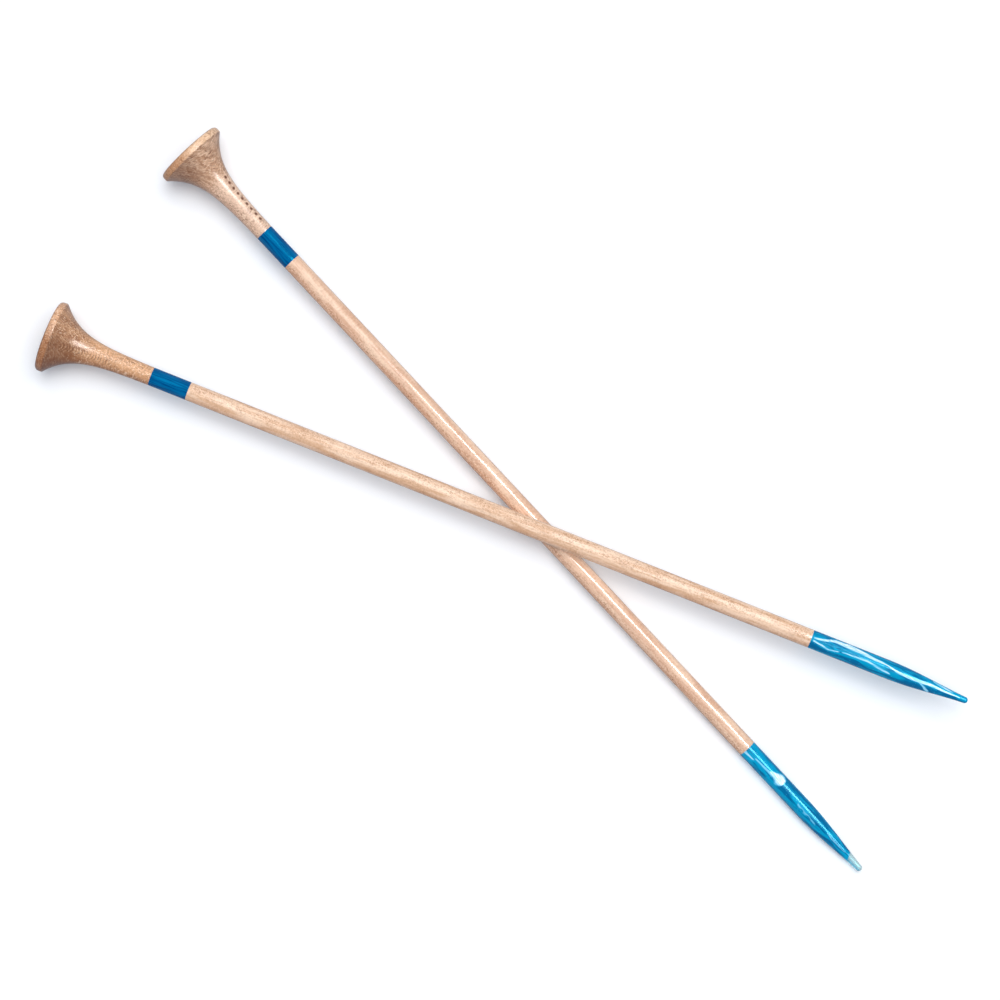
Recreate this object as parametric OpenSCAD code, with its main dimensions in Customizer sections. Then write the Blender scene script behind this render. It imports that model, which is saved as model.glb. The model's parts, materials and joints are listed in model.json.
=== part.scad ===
// A pair of straight knitting needles, lying crossed on a table.
//
// Each needle is four turned lengths end to end on one axis: a trumpet finial, a colour band, a shaft
// and a tapered tip. Two hidden dowels hold them together, one through the band and one at the tip.
// The lower needle rests on its rim and its tip. The upper one rests on its rim and on the lower shaft.
//
// Millimetres. +X runs towards the tips, midway between the needles, and +Z is up from the table.

/* [Needle] */
// Diameter of the shaft, which is the needle's size
shaft_d = 6; // [5:0.25:8]
// Length from the finial's end face to the point
needle_len = 317; // [280:1:400]

/* [Finial] */
// Length of the finial
finial_len = 35.7; // [28:0.1:45]
// Diameter across the rim
rim_d = 23.4; // [18:0.1:28]
// Width of the rim, from the end face to the edge where the flare starts
rim_w = 2.45; // [1.6:0.05:4]
// Length in which the flare loses about two thirds of its height
flare_run = 6.95; // [4:0.05:8]

/* [Band] */
// Length of the colour band
band_len = 12.8; // [5:0.1:25]

/* [Tip] */
// Length of the tip
tip_len = 54; // [45:0.5:70]
// Length of the taper at the end of the tip
taper_len = 28; // [20:0.5:35]
// Radius of the rounded point
nose_r = 1; // [0.6:0.1:1.5]

/* [Joints] */
// Diameter of the dowels
dowel_d = 3; // [2:0.1:3.5]
// Depth to which a dowel enters the piece at each of its ends
dowel_grip = 12; // [6:0.5:14]
// Radial room for glue around a dowel
glue_gap = 0.05; // [0.02:0.01:0.1]

/* [Crossing] */
// Angle between the needles, seen from above
crossing_angle = 25.2; // [15:0.1:90]
// Distance from the lower needle's end face to the crossing
under_cross = 168; // [130:1:190]
// Distance from the upper needle's end face to the crossing
over_cross = 171.9; // [130:0.1:190]
// Upright room between the two shafts, so that they clear each other as the upper needle swings
cross_gap = 0.17; // [0.15:0.01:0.5]

/* [Hidden] */
$fn = 96;

MAPLE = [0.93, 0.79, 0.65];
FIGURED_MAPLE = [0.79, 0.62, 0.48];
BAND_BLUE = [0.02, 0.36, 0.60];
TIP_BLUE = [0.10, 0.58, 0.80];
BIRCH = [0.87, 0.76, 0.60];

shaft_r = shaft_d / 2;
rim_r = rim_d / 2;
dowel_r = dowel_d / 2;
bore_r = dowel_r + glue_gap;
bore_spare = 0.5;   // a blind bore is this much deeper than its dowel goes
dowel_bevel = 0.4;  // bevel on a dowel's ends

// Every visible joint has its two edges eased, which leaves a fine line round the needle.
ease_len = 0.3;
ease_depth = 0.05;

// Places along a needle, from the finial's end face
band_start = finial_len;
shaft_start = band_start + band_len;
tip_start = needle_len - tip_len;
taper_start = needle_len - taper_len;

// The rim: a round at the end face, a flat, then a small shoulder that turns down into the flare
rim_round = 1.2;
shoulder_round = 0.5;
shoulder_turn = 42;
rim_flat_end = rim_w - shoulder_round * sin(shoulder_turn);
flare_start_r = rim_r - shoulder_round * (1 - cos(shoulder_turn));
round_step = 15;
shoulder_step = 14;

// The flare is an exponential horn, fitted between the shoulder and the neck.
flare_power = 1.04;
flare_rings = 28;
function horn(x) = exp(-pow(x / flare_run, flare_power));
horn_end = horn(finial_len - rim_w);
function flare_share(s) = (horn(s - rim_w) - horn_end) / (1 - horn_end);
function flare_r(s) = shaft_r + (flare_start_r - shaft_r) * flare_share(s);

// The taper follows a sine from the nose to the full shaft, with a soft shoulder.
taper_power = 1.45;
taper_rings = 26;
function taper_r(u) = nose_r + (shaft_r - nose_r) * pow(sin(90 * u / taper_len), taper_power);

// Outlines are lists of [radius, distance from the finial's end face].
finial_outline = concat(
    [[0, 0]],
    [for (a = [0 : round_step : 90])
        [rim_r - rim_round + rim_round * sin(a), rim_round - rim_round * cos(a)]],
    [for (a = [0 : shoulder_step : shoulder_turn])
        [rim_r - shoulder_round * (1 - cos(a)), rim_flat_end + shoulder_round * sin(a)]],
    [for (i = [1 : flare_rings])
        let (s = rim_w + (finial_len - ease_len - rim_w) * i / flare_rings)
        [flare_r(s), s]],
    [[shaft_r - ease_depth, finial_len]],
    [[bore_r, finial_len]],
    [[bore_r, finial_len - dowel_grip - bore_spare]],
    [[0, finial_len - dowel_grip - bore_spare]]
);

taper_outline = concat(
    [for (i = [0 : taper_rings - 1])
        let (u = taper_len - (taper_len - nose_r) * i / taper_rings)
        [taper_r(u), needle_len - u]],
    [for (a = [0 : round_step : 90])
        [taper_r(nose_r) * cos(a), needle_len - nose_r + nose_r * sin(a)]]
);

tip_outline = concat(
    [[0, tip_start + dowel_grip + bore_spare]],
    [[bore_r, tip_start + dowel_grip + bore_spare]],
    [[bore_r, tip_start]],
    [[shaft_r - ease_depth, tip_start]],
    [[shaft_r, tip_start + ease_len]],
    taper_outline
);

// How the needles lie. The lower one leans down until its taper meets the table.
half_angle = crossing_angle / 2;
under_tilt = min([for (p = taper_outline) atan((rim_r - p[0]) / (p[1] - rim_flat_end))]);
under_cross_z = rim_r * cos(under_tilt) - (under_cross - rim_flat_end) * sin(under_tilt);
over_cross_z = under_cross_z + shaft_d + cross_gap;
over_tilt = asin((over_cross_z - rim_r) / (over_cross - rim_round));

// The crossing, placed so that the origin is under the middle of the pair
reach_back = max(under_cross, over_cross) * cos(half_angle) + rim_r * sin(half_angle);
reach_front = (needle_len - min(under_cross, over_cross)) * cos(half_angle);
cross_x = (reach_back - reach_front) / 2;
cross_y = (over_cross - under_cross) * sin(half_angle) / 2;

// A solid of revolution from an outline
module turned(outline) {
    rotate_extrude()
        polygon(outline);
}

// A length of plain needle with eased edges, from one place to another along it
module eased_length(from, to) {
    turned([
        [0, from],
        [shaft_r - ease_depth, from],
        [shaft_r, from + ease_len],
        [shaft_r, to - ease_len],
        [shaft_r - ease_depth, to],
        [0, to]
    ]);
}

// A dowel with bevelled ends
module dowel(from, to) {
    turned([
        [0, from],
        [dowel_r - dowel_bevel, from],
        [dowel_r, from + dowel_bevel],
        [dowel_r, to - dowel_bevel],
        [dowel_r - dowel_bevel, to],
        [0, to]
    ]);
}

// Sub-parts of one needle, whose axis is +Z and whose end face is at 0

module finial() {
    color(FIGURED_MAPLE)
        turned(finial_outline);
}

module finial_dowel() {
    color(BIRCH)
        dowel(band_start - dowel_grip, shaft_start + dowel_grip);
}

module band() {
    color(BAND_BLUE)
        difference() {
            eased_length(band_start, shaft_start);
            translate([0, 0, band_start - 1])
                cylinder(r = bore_r, h = band_len + 2);
        }
}

module shaft() {
    bore_depth = dowel_grip + bore_spare;
    color(MAPLE)
        difference() {
            eased_length(shaft_start, tip_start);
            translate([0, 0, shaft_start - 1])
                cylinder(r = bore_r, h = bore_depth + 1);
            translate([0, 0, tip_start - bore_depth])
                cylinder(r = bore_r, h = bore_depth + 1);
        }
}

module tip_dowel() {
    color(BIRCH)
        dowel(tip_start - dowel_grip, tip_start + dowel_grip);
}

module tip() {
    color(TIP_BLUE)
        turned(tip_outline);
}

// Places a needle's sub-part as the lower needle lies
module under() {
    translate([cross_x, cross_y, under_cross_z])
        rotate([0, 90 + under_tilt, -half_angle])
            translate([0, 0, -under_cross])
                children();
}

// Places a needle's sub-part as the upper needle lies
module over() {
    translate([cross_x, cross_y, over_cross_z])
        rotate([0, 90 - over_tilt, half_angle])
            translate([0, 0, -over_cross])
                children();
}

under() finial();  // under_finial
under() finial_dowel();  // under_finial_dowel
under() band();  // under_band
under() shaft();  // under_shaft
under() tip_dowel();  // under_tip_dowel
under() tip();  // under_tip
over() finial();  // over_finial
over() finial_dowel();  // over_finial_dowel
over() band();  // over_band
over() shaft();  // over_shaft
over() tip_dowel();  // over_tip_dowel
over() tip();  // over_tip
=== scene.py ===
"""A pair of straight knitting needles lying crossed on a white table, seen from straight above.

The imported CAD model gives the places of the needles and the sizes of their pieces. Each visible piece is
turned here as a fine solid of revolution in its needle's own coordinates, which its material reads too:
millimetres along the needle from the finial's end face, to its side, and up. So the wood and the resin are
solid patterns that the turned surfaces cut through.
"""

import json
import math

import bmesh
import bpy
import numpy as np
from mathutils import Matrix, Vector


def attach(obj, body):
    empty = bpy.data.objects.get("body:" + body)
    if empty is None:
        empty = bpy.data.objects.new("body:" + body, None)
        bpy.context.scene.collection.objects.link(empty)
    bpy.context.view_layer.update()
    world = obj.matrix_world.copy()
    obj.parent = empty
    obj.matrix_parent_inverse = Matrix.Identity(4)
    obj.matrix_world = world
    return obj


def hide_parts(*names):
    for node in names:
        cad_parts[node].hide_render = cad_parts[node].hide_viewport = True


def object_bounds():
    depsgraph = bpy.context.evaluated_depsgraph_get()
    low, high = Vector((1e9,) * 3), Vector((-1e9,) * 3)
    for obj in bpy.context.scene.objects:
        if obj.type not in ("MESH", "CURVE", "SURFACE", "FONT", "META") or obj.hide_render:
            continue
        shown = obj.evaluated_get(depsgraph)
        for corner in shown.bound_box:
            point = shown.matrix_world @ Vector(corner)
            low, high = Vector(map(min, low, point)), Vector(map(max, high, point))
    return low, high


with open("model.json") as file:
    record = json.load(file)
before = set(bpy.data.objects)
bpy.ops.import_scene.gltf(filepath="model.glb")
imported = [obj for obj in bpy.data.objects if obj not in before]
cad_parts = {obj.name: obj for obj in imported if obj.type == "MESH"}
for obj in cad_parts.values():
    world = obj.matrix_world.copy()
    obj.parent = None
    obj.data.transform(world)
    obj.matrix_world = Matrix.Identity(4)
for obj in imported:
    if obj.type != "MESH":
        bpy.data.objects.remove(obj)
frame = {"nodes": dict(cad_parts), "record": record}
cad_low, cad_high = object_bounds()

MM = 0.001
MOUNTS = {m["name"]: m for m in frame["record"]["mounts"]}

# Sizes that the CAD model has too, in millimetres
RIM_WIDTH = 2.45
RIM_ROUND = 1.2
SHOULDER_ROUND = 0.5
SHOULDER_TURN = math.radians(42)
FLARE_RUN = 6.95
FLARE_POWER = 1.04
TAPER_LENGTH = 28
TAPER_POWER = 1.45
NOSE_R = 1.0
EASE_LENGTH = 0.3
EASE_DEPTH = 0.05
GLUE_GAP = 0.05
BORE_SPARE = 0.5

# How fine the turned pieces are: sides round a needle, steps in millimetres along it, and rings
FINIAL_SIDES = {"under": 240, "over": 192}
SLEEVE_SIDES = 96
FLARE_STEP = 0.12
SHAFT_STEP = 2
RIM_STEPS = 9
SHOULDER_STEPS = 6
BAND_RINGS = 8
TIP_RINGS = 14
TAPER_FIRST = 0.3
TAPER_RINGS = 90
NOSE_STEPS = 12
SHARP_ANGLE = math.radians(30)


# Needles and their coordinates


class Needle:
    """Where one needle lies.

    Its own coordinates are (along, side, up), in millimetres from the middle of the finial's end face.
    """

    def __init__(self, name):
        end = MOUNTS[name + "_end"]
        point = MOUNTS[name + "_point"]
        self.name = name
        self.start = np.array(end["pos_m"])
        along = Vector(point["axis"]).normalized()
        side = Vector((0, 0, 1)).cross(along).normalized()
        self.axes = np.array([along, side, along.cross(side)])
        self.radius = point["dims"]["r_mm"]

    def node(self, piece):
        return f"{self.name}_{piece}"

    def to_frame(self, points):
        """The needle's own coordinates as metres in the row frame."""
        return self.start + points @ self.axes * MM

    def extent(self, piece):
        """Where a piece's CAD node starts and ends along the needle, and its largest radius."""
        corners = np.array([v.co for v in frame["nodes"][self.node(piece)].data.vertices])
        own = (corners - self.start) @ self.axes.T / MM
        return own[:, 0].min(), own[:, 0].max(), np.hypot(own[:, 1], own[:, 2]).max()


# Outlines: lists of (place along the needle, radius), from axis to axis or, for the band, round a loop


def rounding(middle, middle_r, radius, start, end, steps):
    """A round stretch about a point, between two angles from straight out towards the tip."""
    angles = np.linspace(start, end, steps)
    return [(middle + radius * math.sin(a), middle_r + radius * math.cos(a)) for a in angles]


def flare_outline(radius, start, start_r, end):
    """The finial's horn, from the rim's shoulder to the neck."""

    def horn(x):
        return math.exp(-((x / FLARE_RUN) ** FLARE_POWER))

    low = horn(end - start)
    count = round((end - start) / FLARE_STEP)
    places = [start + (end - start) * i / count for i in range(1, count + 1)]
    return [(s, radius + (start_r - radius) * (horn(s - start) - low) / (1 - low)) for s in places]


def finial_outline(needle):
    """A trumpet with a flat end face, a rounded rim and a blind bore for its dowel."""
    start, end, rim_r = needle.extent("finial")
    dowel_start, _, dowel_r = needle.extent("finial_dowel")
    bore_r = dowel_r + GLUE_GAP
    bore_end = dowel_start - BORE_SPARE
    flat_end = RIM_WIDTH - SHOULDER_ROUND * math.sin(SHOULDER_TURN)
    shoulder_r = rim_r - SHOULDER_ROUND * (1 - math.cos(SHOULDER_TURN))
    outline = [(start, 0), (start, rim_r / 3), (start, rim_r * 2 / 3)]
    outline += rounding(start + RIM_ROUND, rim_r - RIM_ROUND, RIM_ROUND, -math.pi / 2, 0, RIM_STEPS)
    outline += rounding(flat_end, rim_r - SHOULDER_ROUND, SHOULDER_ROUND, 0, SHOULDER_TURN, SHOULDER_STEPS)
    outline += flare_outline(needle.radius, RIM_WIDTH, shoulder_r, end - EASE_LENGTH)
    outline += [(end, needle.radius - EASE_DEPTH), (end, bore_r), (bore_end, bore_r), (bore_end, 0)]
    return outline


def shaft_outline(needle):
    """A straight length with eased edges, and a blind bore for a dowel at each end."""
    start, end, _ = needle.extent("shaft")
    _, first_end, first_r = needle.extent("finial_dowel")
    last_start, _, last_r = needle.extent("tip_dowel")
    r = needle.radius
    first_bore = first_r + GLUE_GAP
    first_depth = first_end + BORE_SPARE
    last_bore = last_r + GLUE_GAP
    last_depth = last_start - BORE_SPARE
    count = round((end - start) / SHAFT_STEP)
    outline = [(first_depth, 0), (first_depth, first_bore), (start, first_bore), (start, r - EASE_DEPTH)]
    outline += [(s, r) for s in np.linspace(start + EASE_LENGTH, end - EASE_LENGTH, count + 1)]
    outline += [(end, r - EASE_DEPTH), (end, last_bore), (last_depth, last_bore), (last_depth, 0)]
    return outline


def band_outline(needle):
    """A straight length with eased edges, and a bore right through."""
    start, end, _ = needle.extent("band")
    r = needle.radius
    bore_r = needle.extent("finial_dowel")[2] + GLUE_GAP
    outline = [(start, bore_r), (start, r - EASE_DEPTH)]
    outline += [(s, r) for s in np.linspace(start + EASE_LENGTH, end - EASE_LENGTH, BAND_RINGS)]
    return outline + [(end, r - EASE_DEPTH), (end, bore_r)]


def tip_outline(needle):
    """A straight length that tapers to a round point, with a blind bore for its dowel."""
    start, end, _ = needle.extent("tip")
    _, dowel_end, dowel_r = needle.extent("tip_dowel")
    bore_r = dowel_r + GLUE_GAP
    bore_end = dowel_end + BORE_SPARE
    r = needle.radius

    def taper_r(from_point):
        return NOSE_R + (r - NOSE_R) * math.sin(math.pi / 2 * from_point / TAPER_LENGTH) ** TAPER_POWER

    outline = [(bore_end, 0), (bore_end, bore_r), (start, bore_r), (start, r - EASE_DEPTH)]
    outline += [(s, r) for s in np.linspace(start + EASE_LENGTH, end - TAPER_LENGTH, TIP_RINGS)]
    outline += [(end - u, taper_r(u)) for u in np.linspace(TAPER_LENGTH - TAPER_FIRST, NOSE_R, TAPER_RINGS)]
    for a in np.linspace(0, math.pi / 2, NOSE_STEPS)[1:]:
        outline.append((end - NOSE_R + NOSE_R * math.sin(a), max(taper_r(NOSE_R) * math.cos(a), 0)))
    outline[-1] = (end, 0)
    return outline


# Meshes


def turned_faces(ring_count, sides, solid):
    """The faces between rings of points. A solid has a fan at each end, round one of its last two points."""
    faces = []
    for i in range(ring_count - 1 if solid else ring_count):
        here = i * sides
        there = (i + 1) % ring_count * sides
        for j in range(sides):
            k = (j + 1) % sides
            faces.append((here + j, here + k, there + k, there + j))
    if solid:
        first = ring_count * sides
        last = first + 1
        tail = first - sides
        faces += [(first, (j + 1) % sides, j) for j in range(sides)]
        faces += [(last, tail + j, tail + (j + 1) % sides) for j in range(sides)]
    return faces


def face_outward(mesh):
    """Turns the faces of a closed mesh outward."""
    shell = bmesh.new()
    shell.from_mesh(mesh)
    bmesh.ops.recalc_face_normals(shell, faces=shell.faces)
    shell.to_mesh(mesh)
    shell.free()


def lathe(needle, piece, outline, sides, shape=None):
    """Turns an outline about the needle's axis and returns the new piece, which stands for its CAD node.

    An outline that doesn't start on the axis is closed onto itself. shape may move the points, and gives how
    burned each one is.
    """
    solid = outline[0][1] == 0
    rings = outline[1:-1] if solid else outline
    turn = np.arange(sides) * 2 * math.pi / sides
    points = [(s, r * math.sin(a), r * math.cos(a)) for s, r in rings for a in turn]
    if solid:
        points += [(outline[0][0], 0, 0), (outline[-1][0], 0, 0)]
    points = np.array(points)
    burn = np.zeros(len(points))
    if shape:
        points, burn = shape(points)
    name = needle.node(piece) + "_turned"
    mesh = bpy.data.meshes.new(name)
    mesh.from_pydata(needle.to_frame(points).tolist(), [], turned_faces(len(rings), sides, solid))
    grain = mesh.attributes.new("grain", "FLOAT_VECTOR", "POINT")
    grain.data.foreach_set("vector", points.astype(np.float32).ravel())
    burned = mesh.attributes.new("burn", "FLOAT", "POINT")
    burned.data.foreach_set("value", burn.astype(np.float32))
    face_outward(mesh)
    mesh.shade_smooth()
    mesh.set_sharp_from_angle(angle=SHARP_ANGLE)
    made = bpy.data.objects.new(name, mesh)
    bpy.context.scene.collection.objects.link(made)
    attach(made, needle.name + "_needle")
    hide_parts(needle.node(piece))
    return made


# Burned dots on one neck, in millimetres: a plain row, each a shallow charred dish with a scorched edge. They
# stay off the points of the bore, which lie within BORE_WALL_R
DOT_COUNT = 9
DOT_FIRST = 14.5
DOT_GAP = 2.15
DOT_R = 0.42
DOT_DEPTH = 0.07
DOT_TURN = math.radians(43)
CHAR_R = 0.7 * DOT_R
SCORCH_R = 0.78
BORE_WALL_R = 2
ON_AXIS_R = 1e-6


def burn_dots(points):
    """Presses the dots into a finial's neck, and gives how burned each point is."""
    s, side, up = points.T
    radius = np.hypot(side, up)
    off = np.arctan2(side, up) - DOT_TURN
    burn = np.zeros(len(points))
    dish = np.zeros(len(points))
    for i in range(DOT_COUNT):
        away = np.hypot(s - DOT_FIRST - i * DOT_GAP, off * radius)
        dish = np.maximum(dish, np.clip(1 - (away / DOT_R) ** 2, 0, 1))
        burn = np.maximum(burn, np.clip((SCORCH_R - away) / (SCORCH_R - CHAR_R), 0, 1))
    neck = radius > BORE_WALL_R
    sunk = np.where(neck, 1 - dish * DOT_DEPTH / np.maximum(radius, ON_AXIS_R), 1)
    moved = np.stack([s, side * sunk, up * sunk], axis=1)
    return moved, np.where(neck, burn, 0)


# Materials


def paint(red, green, blue):
    """A display colour, in 0 to 255, as the linear colour that shaders take."""
    channels = []
    for c in (red, green, blue):
        v = c / 255
        channels.append(v / 12.92 if v <= 0.04045 else ((v + 0.055) / 1.055) ** 2.4)
    return (*channels, 1)


class Finish:
    """One material, and short names for the nodes that it is made of. They return the new node's output."""

    def __init__(self, name):
        self.material = bpy.data.materials.new(name)
        self.material.use_nodes = True
        self.tree = self.material.node_tree
        self.tree.nodes.clear()
        output = self.tree.nodes.new("ShaderNodeOutputMaterial")
        self.shader = self.tree.nodes.new("ShaderNodeBsdfPrincipled")
        self.tree.links.new(self.shader.outputs[0], output.inputs["Surface"])

    def set(self, **sockets):
        """Sets the shader's own sockets, by name with _ for a space."""
        for name, value in sockets.items():
            self.feed(self.shader.inputs[name.replace("_", " ")], value)

    def feed(self, socket, value):
        if isinstance(value, bpy.types.NodeSocket):
            self.tree.links.new(value, socket)
        else:
            socket.default_value = value

    def node(self, kind, inputs, **settings):
        made = self.tree.nodes.new("ShaderNode" + kind)
        for name, value in settings.items():
            setattr(made, name, value)
        for name, value in inputs.items():
            self.feed(made.inputs[name], value)
        return made

    def attribute(self, name, output="Vector"):
        """A value that the mesh holds at its points."""
        return self.node("Attribute", {}, attribute_name=name).outputs[output]

    def math(self, operation, *values):
        return self.node("Math", dict(enumerate(values)), operation=operation).outputs[0]

    def most(self, values):
        """The largest of some values."""
        largest = values[0]
        for value in values[1:]:
            largest = self.math("MAXIMUM", largest, value)
        return largest

    def vector(self, operation, *values):
        return self.node("VectorMath", dict(enumerate(values)), operation=operation).outputs[0]

    def split(self, vector):
        return self.node("SeparateXYZ", {0: vector}).outputs

    def place(self, vector, shift=(0, 0, 0), turn=0.0):
        """Coordinates turned about the needle and shifted."""
        inputs = {"Vector": vector, "Location": shift, "Rotation": (turn, 0, 0)}
        return self.node("Mapping", inputs).outputs[0]

    def noise(self, vector, size, detail, roughness=0.5, colour=False):
        """Noise with features of about size, in millimetres along the needle, to its side and up."""
        scaled = self.vector("DIVIDE", vector, size)
        inputs = {"Vector": scaled, "Scale": 1.0, "Detail": detail, "Roughness": roughness}
        return self.node("TexNoise", inputs).outputs["Color" if colour else "Fac"]

    def cells(self, vector, size, output="Distance"):
        """Voronoi cells of about size, in millimetres."""
        scaled = self.vector("DIVIDE", vector, size)
        return self.node("TexVoronoi", {"Vector": scaled, "Scale": 1.0}, feature="F1").outputs[output]

    def distance(self, own):
        """How far a place is from the needle's axis."""
        _, side, up = self.split(own)
        squares = self.math("ADD", self.math("MULTIPLY", side, side), self.math("MULTIPLY", up, up))
        return self.math("SQRT", squares)

    def ramp(self, value, low, high, to_low=0.0, to_high=1.0):
        """Turns low to high into to_low to to_high, with soft ends."""
        inputs = {"Value": value, "From Min": low, "From Max": high, "To Min": to_low, "To Max": to_high}
        return self.node("MapRange", inputs, interpolation_type="SMOOTHSTEP").outputs[0]

    def mix(self, share, first, second):
        """The first colour with a share of the second. 0, 6 and 7 are the node's sockets for the three."""
        return self.node("Mix", {0: share, 6: first, 7: second}, data_type="RGBA").outputs[2]

    def bump(self, height, depth):
        """A bump of depth millimetres for heights from 0 to 1."""
        inputs = {"Height": height, "Distance": depth * MM, "Strength": 1.0}
        return self.node("Bump", inputs).outputs[0]


# Wood

# Sizes of its patterns, in millimetres along the needle, to its side and up, after the turn to the rays' way
BEND_SIZE = (7, 2.5, 2.5)
BEND_REACH = (1.5, 0.5, 1.0)
TONE_SIZE = (18, 1.4, 3)
FIBRE_SIZE = (10, 0.5, 0.8)
PATCH_SIZE = (8, 1.6, 3)
FINE_SIZE = (0.5, 0.36, 1.6)
# Two sizes of ray, each with how dark the darkest of them are
RAYS = (
    ((0.9, 0.5, 2.0), 0.6),
    ((1.6, 0.8, 3.6), 0.5),
)
# The depth of its grain, in millimetres
GRAIN_DEPTH = 0.01
# How strongly the dark fibres, the painted shade on the low side and the pale flecks show
FIBRE_SHARE = {"finial": 0.12, "shaft": 0.25}
SHAFT_PAINTED_SHADE_SHARE = 0.28
SHAFT_PALE_SHARE = 0.6
# Where the painted shade on the low side comes in sideways, as shares of the radius
LOW_SIDE_PAINTED_SHADE = (-0.25, -0.85)
PALE_FLECK = paint(255, 226, 196)
SCORCH = paint(98, 50, 22)
# Where a finial's sapwood, the painted shade down its flare's low side, its rim and the painted shade at its
# end come in, in millimetres along the needle
SAP_RUN = (10, 18)
PAINTED_FLARE_SHADE_RUN = (15, 7)
RIM_RUN = (RIM_WIDTH + 0.2, RIM_WIDTH - 0.3)
END_PAINTED_SHADE_RUN = (0.5, 0.05)
# A finial's nested arcs, in millimetres: their spacing, how much they bow, how far noise bends them, how
# gently they start and end, and the sizes of their noise. ARC_SEED keeps that noise apart from the wood's
ARC_GAP = 0.95
ARC_BOW = 0.3
ARC_STRAY = 2.0
ARC_FADE_IN = 1.5
ARC_FADE_OUT = 5
ARC_STRAY_SIZE = (5, 2.5, 2.5)
ARC_UNEVEN_SIZE = (2.5, 1.0, 1.0)
ARC_SEED = 30


def warped(f, coordinates, size, reach):
    """Coordinates pushed about by slow noise, so that what is drawn in them bends."""
    push = f.vector("SUBTRACT", f.noise(coordinates, size, detail=1.0, colour=True), (0.5, 0.5, 0.5))
    return f.vector("ADD", coordinates, f.vector("MULTIPLY", push, reach))


def finial_tones(f, colour, along, sideways, dark, figure):
    """Adds a finial's rim, and painted shade down its flare's low side and at its end. Returns the colour,
    and how strong pale flecks are in it.
    """
    # Painted shade down the flare's low side, and on the rim's low side
    shade_side_mask = f.ramp(sideways, *figure["painted_flare_shade_side"])
    painted_flare_shade = f.math("MULTIPLY", shade_side_mask, f.ramp(along, *PAINTED_FLARE_SHADE_RUN, 0, figure["painted_flare_shade_share"]))
    colour = f.mix(painted_flare_shade, colour, dark)
    rim = f.mix(shade_side_mask, *figure["rim"])
    colour = f.mix(f.ramp(along, *RIM_RUN, 0, 0.6), colour, rim)
    # Painted shade on the rounded edge of the end face
    colour = f.mix(f.ramp(along, *END_PAINTED_SHADE_RUN, 0, 0.4), colour, dark)
    return colour, f.ramp(painted_flare_shade, 0, 0.5, 0.65, 0.2)


def rays(f, bent):
    """How dark the rays are, some darker than others."""
    kinds = []
    for size, share in RAYS:
        spindle = f.ramp(f.cells(bent, size), 0.55, 0.2)
        strength = f.split(f.cells(bent, size, output="Color"))[0]
        kinds.append(f.math("MULTIPLY", spindle, f.ramp(strength, 0.0, 1.0, 0, share)))
    return f.most(kinds)


def ray_arcs(f, own, seed, turn, start, end, half_width):
    """Nested arcs along a line at an angle about the needle, where the turned surface runs along the rays.

    Returns how dark the arcs are, and how pale the wood between them is.
    """
    along, side, up = f.split(own)
    off = f.math("MULTIPLY", f.math("SUBTRACT", f.math("ARCTAN2", side, up), turn), f.distance(own))
    here = f.place(own, shift=(seed + ARC_SEED, 0, 0))
    slow = f.noise(here, ARC_STRAY_SIZE, detail=1)
    stray = f.math("MULTIPLY", f.math("SUBTRACT", slow, 0.5), ARC_STRAY)
    bow = f.math("MULTIPLY", f.math("MULTIPLY", off, off), ARC_BOW)
    phase = f.math("ADD", f.math("ADD", along, bow), stray)
    wave = f.math("SINE", f.math("MULTIPLY", phase, 2 * math.pi / ARC_GAP))
    near = f.ramp(f.math("ABSOLUTE", off), half_width, half_width * 0.3)
    begun = f.ramp(along, start, start + ARC_FADE_IN)
    run = f.math("MULTIPLY", begun, f.ramp(along, end, end - ARC_FADE_OUT))
    uneven = f.ramp(f.noise(here, ARC_UNEVEN_SIZE, detail=1), 0.35, 0.6, 0.3, 1.0)
    share = f.math("MULTIPLY", near, f.math("MULTIPLY", run, uneven))
    arcs = f.math("MULTIPLY", f.ramp(wave, 0.0, 1.0), share)
    between = f.math("MULTIPLY", f.ramp(wave, 0.0, -1.0), share)
    return arcs, between


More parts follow.
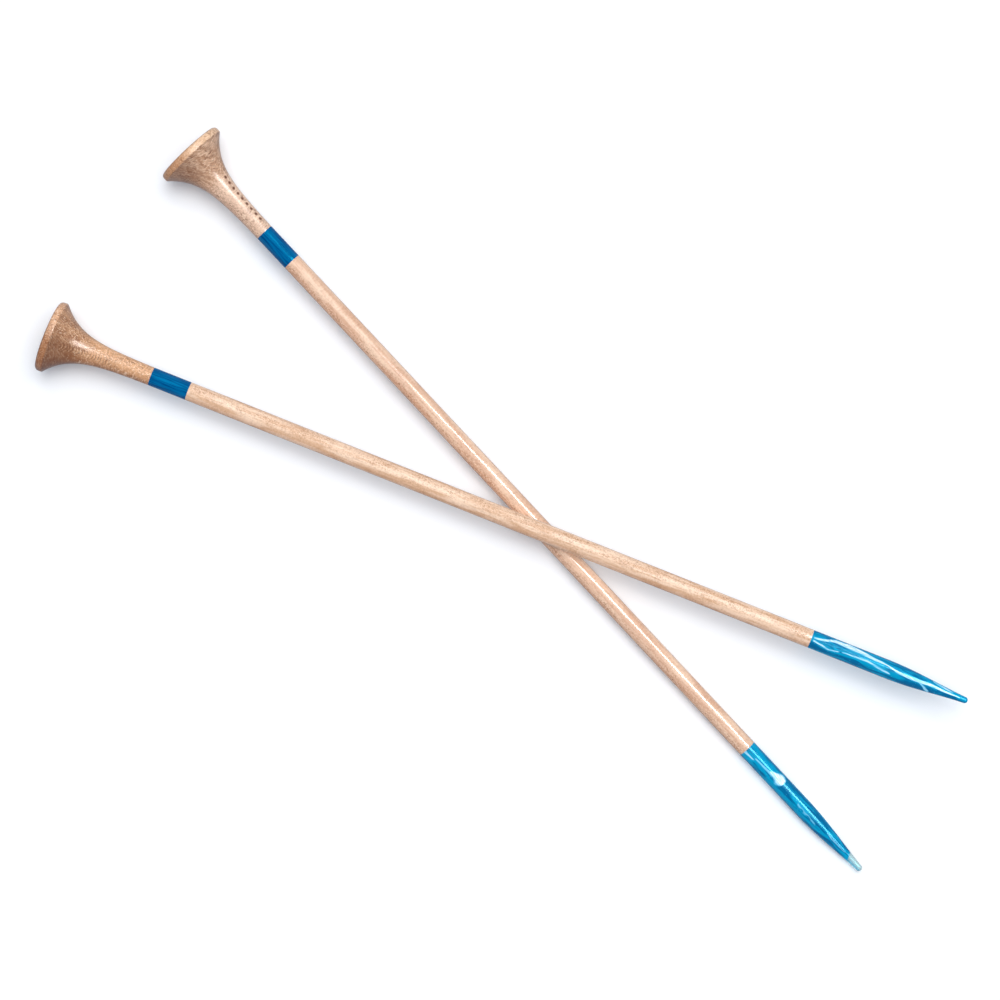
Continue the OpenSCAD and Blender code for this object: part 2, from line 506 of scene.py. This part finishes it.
def maple(name, seed, turn, tones, fleck, coat_roughness, figure=None):
    """Lacquered maple with its rays. tones are its light and middle tone, the painted shade of its low side,
    and its dark tone.

    Rays are thin plates that lie across the grain. So where they meet the surface end-on they are dark ticks,
    and where they lie along it they are short bars across the needle. turn is their way about the needle, and
    fleck is how dark the bars and the ticks are. figure holds what a finial has besides: painted shade down
    its flare's low side, paler sapwood, the rim's tones with painted shade on the rim's low side, and nested
    arcs.
    """
    light, middle, low, dark = tones
    f = Finish(name)
    own = f.attribute("grain")
    along, side, _ = f.split(own)
    sideways = f.math("DIVIDE", side, f.distance(own))
    grain = f.place(own, shift=(seed, 0, 0), turn=turn)
    bent = warped(f, grain, BEND_SIZE, BEND_REACH)

    # Slow changes of tone, fibres along the needle, and painted shade on the low side
    broad = f.noise(bent, TONE_SIZE, detail=3)
    fibre = f.noise(grain, FIBRE_SIZE, detail=3, roughness=0.6)
    tone = f.math("ADD", f.math("MULTIPLY", broad, 0.6), f.math("MULTIPLY", fibre, 0.4))
    fibre_share = FIBRE_SHARE["finial" if figure else "shaft"]
    colour = f.mix(f.ramp(tone, 0.41, 0.59), middle, light)
    colour = f.mix(f.ramp(fibre, 0.54, 0.72, 0, fibre_share), colour, dark)
    if figure:
        colour = f.mix(f.ramp(along, *SAP_RUN, 0, 0.6), colour, figure["sap"])
    painted_low_shade_share = figure["painted_low_shade_share"] if figure else SHAFT_PAINTED_SHADE_SHARE
    # Painted shade darkens the low side
    colour = f.mix(f.ramp(sideways, *LOW_SIDE_PAINTED_SHADE, 0, painted_low_shade_share), colour, low)
    pale_share = SHAFT_PALE_SHARE
    if figure:
        colour, pale_share = finial_tones(f, colour, along, sideways, dark, figure)

    # Rays, stronger in patches and where they meet the surface end-on
    across = f.split(f.place(own, turn=turn))[2]
    ends = f.math("DIVIDE", f.math("ABSOLUTE", across), f.distance(own))
    patch = f.ramp(f.noise(bent, PATCH_SIZE, detail=2), 0.35, 0.6, 0.5, 1.0)
    patch = f.math("MULTIPLY", patch, f.ramp(ends, 0.65, 1.0, *fleck))
    ticks = f.math("MULTIPLY", rays(f, bent), patch)
    colour = f.mix(ticks, colour, dark)

    # Fine figure between the rays, darker and paler than the wood
    fine = f.noise(bent, FINE_SIZE, detail=1)
    colour = f.mix(f.math("MULTIPLY", f.ramp(fine, 0.5, 0.7, 0, 0.5), patch), colour, dark)
    pale = f.math("MULTIPLY", f.ramp(fine, 0.5, 0.3, 0, 1), pale_share)
    colour = f.mix(f.math("MULTIPLY", pale, patch), colour, PALE_FLECK)

    relief = f.math("ADD", f.math("MULTIPLY", fibre, 0.5), f.math("MULTIPLY", ticks, -0.6))
    if figure:
        arcs, between = ray_arcs(f, own, seed, *figure["arcs"])
        colour = f.mix(f.math("MULTIPLY", between, 0.4), colour, light)
        colour = f.mix(f.math("MULTIPLY", arcs, 0.6), colour, dark)
        relief = f.math("SUBTRACT", relief, f.math("MULTIPLY", arcs, 0.4))
        colour = f.mix(f.ramp(f.attribute("burn", "Fac"), 0.0, 1.0, 0, 0.92), colour, SCORCH)
    f.set(Base_Color=colour, Roughness=0.6, Specular_IOR_Level=0.0)
    f.set(Coat_Weight=1.0, Coat_Roughness=coat_roughness, Coat_IOR=1.5)
    f.set(Normal=f.bump(relief, GRAIN_DEPTH))
    return f.material


# Dyed wood: the sizes of its streaks and patches in millimetres, and its blues
STREAK_SIZE = (7, 0.3, 0.3)
DYE_PATCH_SIZE = (14, 1.6, 1.6)
DYE_DARK = paint(0, 62, 116)
DYE_LIGHT = paint(0, 98, 150)
DYE_PALE = paint(0, 104, 156)


def dyed(name, seed):
    """Blue dyed wood, streaked along the needle."""
    f = Finish(name)
    grain = f.place(f.attribute("grain"), shift=(seed, 0, 0))
    streak = f.noise(grain, STREAK_SIZE, detail=3, roughness=0.6)
    broad = f.noise(grain, DYE_PATCH_SIZE, detail=1)
    colour = f.mix(f.ramp(streak, 0.4, 0.6), DYE_DARK, DYE_LIGHT)
    colour = f.mix(f.ramp(broad, 0.45, 0.7, 0, 0.4), colour, DYE_PALE)
    f.set(Base_Color=colour, Roughness=0.25, Specular_IOR_Level=0.35, Specular_Tint=(0.02, 0.8, 1.0, 1))
    f.set(Normal=f.bump(streak, GRAIN_DEPTH))
    return f.material


BIRCH_SIZE = (4, 0.6, 0.6)
BIRCH_DARK = paint(214, 190, 152)
BIRCH_LIGHT = paint(232, 212, 178)


def birch(name):
    """Plain birch, for the hidden dowels."""
    f = Finish(name)
    own = f.vector("DIVIDE", f.node("TexCoord", {}).outputs["Object"], (MM, MM, MM))
    streak = f.noise(own, BIRCH_SIZE, detail=3)
    f.set(Base_Color=f.mix(f.ramp(streak, 0.35, 0.65), BIRCH_DARK, BIRCH_LIGHT), Roughness=0.6)
    return f.material


# Resin

# Sizes of its patterns, in millimetres along the needle, to its side and up
SWIRL_SIZE = (8, 2.4, 2.4)
SWIRL_REACH = (7, 2.4, 2.4)
DEPTH_SIZE = (14, 1.3, 1.3)
WISP_SIZE = (11, 0.7, 0.7)
STRAND_SIZE = (9, 0.35, 0.35)
BUBBLE_SIZE = (0.9, 0.9, 0.9)
WAVER_SIZE = (5, 2.2, 2.2)
# How far a ribbon wavers round the needle, as an angle, and along it, and the length that its ends fade over
WAVER_ANGLE = 0.2
WAVER_LENGTH = 0.8
RIBBON_FADE = 0.8
# Where a ribbon's edge fades out, as shares of its half width
RIBBON_EDGE = (1.45, 0.5)
# How the clear point starts: over a length, on a plane that slants by this much for each millimetre sideways
CLEAR_FADE = 0.5
CLEAR_SLANT = 0.5
# Its colours, the last of them painted shade on the clear point's low side
DEEP_BLUE = paint(0, 98, 146)
BRIGHT_BLUE = paint(0, 148, 190)
WISP_CYAN = paint(0, 170, 210)
PALE_CYAN = paint(116, 200, 232)
SWIRL_WHITE = paint(232, 244, 248)
CLEAR_POINT = paint(206, 228, 228)
CLEAR_PAINTED_SHADE = paint(110, 184, 210)


def curve(f, value, points, low, high):
    """A smooth curve through given points (value, result), for results from low to high."""
    first = points[0][0]
    last = points[-1][0]
    made = f.node("FloatCurve", {"Value": f.math("DIVIDE", f.math("SUBTRACT", value, first), last - first)})
    line = made.mapping.curves[0]
    for _ in points[2:]:
        line.points.new(0.5, 0.5)
    for point, (at, result) in zip(line.points, points):
        point.location = ((at - first) / (last - first), (result - low) / (high - low))
    made.mapping.update()
    return f.math("ADD", f.math("MULTIPLY", made.outputs[0], high - low), low)


def ribbon(f, along, around, points):
    """How white a ribbon in the resin is, from 0 to 1.

    points are (place along the needle in millimetres, angle round it from the top, half width as an angle).
    """
    centre = curve(f, along, [(s, angle) for s, angle, _ in points], -math.pi, math.pi)
    reach = curve(f, along, [(s, width) for s, _, width in points], 0, 1)
    off = f.math("ABSOLUTE", f.math("SUBTRACT", around, centre))
    near = f.ramp(f.math("DIVIDE", off, f.math("MAXIMUM", reach, 0.001)), *RIBBON_EDGE)
    first = points[0][0]
    last = points[-1][0]
    begun = f.ramp(along, first, first + RIBBON_FADE)
    run = f.math("MULTIPLY", begun, f.ramp(along, last, last - RIBBON_FADE))
    return f.math("MULTIPLY", near, run)


def resin(name, seed, ribbons, clear_from):
    """Polished blue resin with white swirled through it.

    From clear_from on, at the point, it is pale and half clear, with painted shade on its low side.
    clear_from is None where the blue goes on.
    """
    f = Finish(name)
    own = f.attribute("grain")
    grain = f.place(own, shift=(seed, 0, 0))
    swirl = warped(f, grain, SWIRL_SIZE, SWIRL_REACH)
    depth = f.noise(swirl, DEPTH_SIZE, detail=3)
    colour = f.mix(f.ramp(depth, 0.4, 0.6), DEEP_BLUE, BRIGHT_BLUE)
    wisp = f.noise(swirl, WISP_SIZE, detail=3, roughness=0.55)
    colour = f.mix(f.ramp(wisp, 0.54, 0.7, 0, 0.7), colour, WISP_CYAN)

    # White ribbons that waver, made of strands
    along, side, up = f.split(own)
    waver = f.math("SUBTRACT", f.noise(grain, WAVER_SIZE, detail=2), 0.5)
    around = f.math("ADD", f.math("ARCTAN2", side, up), f.math("MULTIPLY", waver, WAVER_ANGLE))
    near = f.math("ADD", along, f.math("MULTIPLY", waver, WAVER_LENGTH))
    white = f.most([f.math("MULTIPLY", ribbon(f, near, around, points), share) for share, points in ribbons])
    strand = f.ramp(f.noise(swirl, STRAND_SIZE, detail=2), 0.35, 0.6, 0.6, 1.0)
    white = f.math("MULTIPLY", white, strand)
    colour = f.mix(f.ramp(white, 0.0, 0.55), colour, PALE_CYAN)
    colour = f.mix(f.ramp(white, 0.4, 1.0), colour, SWIRL_WHITE)
    bubbles = f.cells(grain, BUBBLE_SIZE)
    colour = f.mix(f.ramp(bubbles, 0.16, 0.1, 0, 0.35), colour, PALE_CYAN)

    if clear_from:
        slanted = f.math("ADD", along, f.math("MULTIPLY", side, CLEAR_SLANT))
        clear = f.ramp(slanted, clear_from, clear_from + CLEAR_FADE)
        sideways = f.math("DIVIDE", side, f.distance(own))
        # The clear point's low side gets painted shade
        colour = f.mix(clear, colour, f.mix(f.ramp(sideways, 0.2, -0.8), CLEAR_POINT, CLEAR_PAINTED_SHADE))
        f.set(Transmission_Weight=f.math("MULTIPLY", clear, 0.5))
    f.set(Base_Color=colour, Roughness=0.1, IOR=1.5, Specular_Tint=(0.2, 0.8, 1.0, 1))
    return f.material


# What differs from needle to needle

# The light and middle tone, the low side's painted shade, and the dark tone of each shaft and each finial
SHAFT_TONES = {
    "under": (paint(237, 202, 173), paint(216, 172, 142), paint(196, 120, 66), paint(136, 74, 36)),
    "over": (paint(246, 213, 184), paint(215, 172, 137), paint(190, 118, 62), paint(140, 82, 42)),
}
FINIAL_TONES = {
    "under": (paint(214, 172, 140), paint(182, 136, 103), paint(176, 106, 60), paint(96, 50, 24)),
    "over": (paint(200, 150, 110), paint(168, 116, 79), paint(150, 86, 40), paint(92, 46, 20)),
}
# Each finial's figure. The painted shade down the flare's low side comes in between two places sideways, as
# shares of the radius, and another painted shade darkens its whole low side. rim is the rim's tone on its lit
# side and on its low side, where it is painted shade, and arcs are the nested arcs' angle round the needle,
# their start, end and half width in millimetres
FIGURE = {
    "under": {
        "painted_flare_shade_side": (0.3, -0.5),
        "painted_flare_shade_share": 0.38,
        "painted_low_shade_share": 0.2,
        "sap": paint(234, 201, 176),
        "rim": (paint(246, 204, 164), paint(212, 152, 104)),
        "arcs": (math.radians(32), 3.5, 14, 2.2),
    },
    "over": {
        "painted_flare_shade_side": (0.5, -0.2),
        "painted_flare_shade_share": 0.44,
        "painted_low_shade_share": 0.65,
        "sap": paint(234, 180, 134),
        "rim": (paint(236, 184, 144), paint(176, 116, 74)),
        "arcs": (math.radians(-13), 5, 26, 2.0),
    },
}
# The rays' way about each needle, how dark the rays' bars and ticks are, and how rough the lacquer is
RAY_TURN = {"under": math.radians(-58), "over": math.radians(28)}
FINIAL_FLECK = (0.75, 1.0)
SHAFT_FLECK = (0.3, 0.85)
FINIAL_COAT = 0.28
SHAFT_COAT = {"under": 0.12, "over": 0.16}
# The finial that has the burned dots
DOTS = {"under": burn_dots, "over": None}

# The ribbons in each tip, the last two of them underneath: how white each is, and then its points, which are
# (place along the needle, angle round it, half width as an angle)
RIBBONS = {
    "under": [
        (1.0, [(273.0, 0.12, 0.1), (275.0, 0.22, 0.26), (276.4, 0.3, 0.5), (277.5, 0.3, 0.64),
               (278.5, 0.3, 0.52), (279.2, 0.3, 0.3), (279.7, 0.3, 0.05)]),
        (0.5, [(266.5, -0.1, 0.06), (270, -0.08, 0.12), (273, 0.0, 0.15), (276, 0.1, 0.2)]),
        (0.7, [(262.4, -0.42, 0.2), (264.5, -0.4, 0.14), (267.5, -0.3, 0.05)]),
        # A thin white line along the top, partly a white streak and partly a painted highlight
        (0.25, [(279, 0.1, 0.06), (284, 0.22, 0.08), (292, 0.2, 0.07), (297, 0.1, 0.04)]),
        (0.45, [(286.5, -0.05, 0.04), (288.0, -0.2, 0.13), (289.3, -0.12, 0.05), (290.8, -0.24, 0.15),
                (292.4, -0.14, 0.06), (294.0, -0.27, 0.11), (296.0, -0.32, 0.04)]),
        (0.5, [(300, 0.15, 0.05), (303.5, 0.02, 0.14), (306, 0.0, 0.12), (309.5, 0.05, 0.04)]),
        (1.0, [(283, 2.4, 0.2), (292, 2.0, 0.45), (303, 2.6, 0.2)]),
        (0.8, [(264, -2.6, 0.3), (274, -2.2, 0.2), (284, -2.9, 0.35), (296, -2.4, 0.1)]),
    ],
    "over": [
        (0.9, [(263.4, 0.24, 0.1), (267, 0.4, 0.13), (270.4, 0.78, 0.2), (274.8, 0.86, 0.3),
               (279.4, 0.72, 0.25), (283.4, 0.56, 0.18), (288, 0.4, 0.08), (292.4, 0.15, 0.11),
               (296, 0.05, 0.14), (299.8, 0.08, 0.2), (304, 0.2, 0.22), (309, 0.1, 0.18), (314.5, 0.0, 0.1)]),
        (0.8, [(263.3, -0.04, 0.08), (267, -0.25, 0.09), (270, -0.32, 0.07), (273.2, -0.16, 0.05)]),
        (0.7, [(273.2, -0.16, 0.04), (276.3, -0.05, 0.08), (282.6, 0.0, 0.11), (285.7, -0.18, 0.12),
               (288.8, -0.3, 0.1), (291, -0.4, 0.03)]),
        (0.6, [(299, 0.0, 0.06), (301.5, -0.35, 0.14), (303, -0.8, 0.3), (304.5, -1.2, 0.2)]),
        # A pale band along the upper, lit edge: painted highlight
        (0.7, [(304, 1.1, 0.1), (306.5, 0.95, 0.24), (309.5, 0.75, 0.2), (312, 0.6, 0.08)]),
        (0.8, [(266, 2.9, 0.3), (278, 2.4, 0.35), (292, 2.9, 0.25), (304, 2.3, 0.2)]),
        (0.7, [(264, -1.9, 0.2), (274, -2.3, 0.3), (286, -1.8, 0.2)]),
    ],
}
CLEAR_FROM = {"under": 310.8, "over": None}

# Where each material's pattern starts, so that no two pieces have the same one
SEED = {"under": 0, "over": 400}
BAND_SEED = 60
SHAFT_SEED = 120
TIP_SEED = 200


# The pieces

under = Needle("under")
over = Needle("over")
birch_finish = birch("birch")
for needle in (under, over):
    name = needle.name
    seed = SEED[name]
    turn = RAY_TURN[name]
    finial = lathe(needle, "finial", finial_outline(needle), FINIAL_SIDES[name], DOTS[name])
    finial.data.materials.append(
        maple(name + "_figured", seed, turn, FINIAL_TONES[name], FINIAL_FLECK, FINIAL_COAT, FIGURE[name])
    )
    band = lathe(needle, "band", band_outline(needle), SLEEVE_SIDES)
    band.data.materials.append(dyed(name + "_dyed", seed + BAND_SEED))
    shaft = lathe(needle, "shaft", shaft_outline(needle), SLEEVE_SIDES)
    shaft.data.materials.append(
        maple(name + "_maple", seed + SHAFT_SEED, turn, SHAFT_TONES[name], SHAFT_FLECK, SHAFT_COAT[name])
    )
    tip = lathe(needle, "tip", tip_outline(needle), SLEEVE_SIDES)
    tip.data.materials.append(resin(name + "_resin", seed + TIP_SEED, RIBBONS[name], CLEAR_FROM[name]))
    for dowel in ("finial_dowel", "tip_dowel"):
        hidden = frame["nodes"][needle.node(dowel)]
        hidden.data.materials.clear()
        hidden.data.materials.append(birch_finish)


# The camera looks straight down, from metres above. The picture's right is turned from +X
PICTURE_TURN = math.radians(34.3)
CAMERA_AT = (-0.00582, 0.00095, 1.294)
LENS_MM = 144
SENSOR_MM = 36

camera = bpy.data.objects.new("camera", bpy.data.cameras.new("camera"))
camera.data.lens = LENS_MM
camera.data.sensor_width = SENSOR_MM
camera.location = CAMERA_AT
camera.rotation_euler = (0, 0, PICTURE_TURN)
bpy.context.scene.collection.objects.link(camera)
bpy.context.scene.camera = camera


# The table: white, and wide enough for every view. Its glare stays out of the needles' reflections
TABLE_SIZE = 12.0
TABLE_WHITE = (0.9, 0.9, 0.9, 1)

half = TABLE_SIZE / 2
corners = [(-half, -half, 0), (half, -half, 0), (half, half, 0), (-half, half, 0)]
table_mesh = bpy.data.meshes.new("table")
table_mesh.from_pydata(corners, [], [(0, 1, 2, 3)])
table = bpy.data.objects.new("table", table_mesh)
table_finish = Finish("table_white")
table_finish.set(Base_Color=TABLE_WHITE, Roughness=0.9, Specular_IOR_Level=0.0)
table_mesh.materials.append(table_finish.material)
table.visible_glossy = False
bpy.context.scene.collection.objects.link(table)


# Light. Two softboxes overhead give the light and the shadows: a wide one, and a smaller and brighter one in
# its middle. The window and the ceiling show only as highlights on the needles. The room is pale
def softbox(name, towards, length_way, length, width, radiance, glossy):
    """An area light at a place relative to the middle of the needles. length_way is the way its length runs.

    Places and sizes are in metres. A glossy one shows in reflections only, and any other one lights surfaces
    without showing in them.
    """
    centre = (cad_low + cad_high) / 2
    away = towards.normalized()
    run = (length_way - away * length_way.dot(away)).normalized()
    light = bpy.data.lights.new(name, "AREA")
    light.shape = "RECTANGLE"
    light.size = length
    light.size_y = width
    light.energy = radiance * math.pi * length * width
    lamp = bpy.data.objects.new(name, light)
    turned = Matrix((run, away.cross(run), away)).transposed()
    lamp.matrix_world = Matrix.Translation(centre + towards) @ turned.to_4x4()
    lamp.visible_camera = False
    lamp.visible_diffuse = not glossy
    lamp.visible_glossy = glossy
    bpy.context.scene.collection.objects.link(lamp)


def picture_way(angle):
    """A level direction at an angle from the picture's right."""
    return Vector((math.cos(PICTURE_TURN + angle), math.sin(PICTURE_TURN + angle), 0))


UPWARD = Vector((0, 0, 1))
OVERHEAD_WAY = math.radians(70)
OVERHEAD_LEAN = math.radians(12.3)
OVERHEAD_FAR = 4.5
CEILING_WAY = math.radians(75)
ROOM_COLOUR = (0.84, 0.97, 1.18, 1)
ROOM_STRENGTH = 0.35

lean = picture_way(OVERHEAD_WAY)
overhead = (lean * math.sin(OVERHEAD_LEAN) + UPWARD * math.cos(OVERHEAD_LEAN)) * OVERHEAD_FAR
softbox("overhead", overhead, lean, length=4.0, width=4.0, radiance=3.75, glossy=False)
softbox("overhead_core", overhead, lean, length=1.4, width=1.4, radiance=5.8, glossy=False)

under_way = Vector(under.axes[0])
under_side = Vector(under.axes[1])
window = under_way * 0.33 + under_side * 0.68 + UPWARD * 1.2
softbox("window", window, under_way, length=0.7, width=0.48, radiance=19, glossy=True)
ceiling = picture_way(CEILING_WAY) * 0.7 + UPWARD * 1.5
softbox("ceiling", ceiling, under_way, length=2.4, width=2.0, radiance=1.6, glossy=True)

world = bpy.data.worlds.new("pale_room")
world.use_nodes = True
world.node_tree.nodes["Background"].inputs["Color"].default_value = ROOM_COLOUR
world.node_tree.nodes["Background"].inputs["Strength"].default_value = ROOM_STRENGTH
bpy.context.scene.world = world
bpy.context.scene.view_settings.view_transform = "Standard"
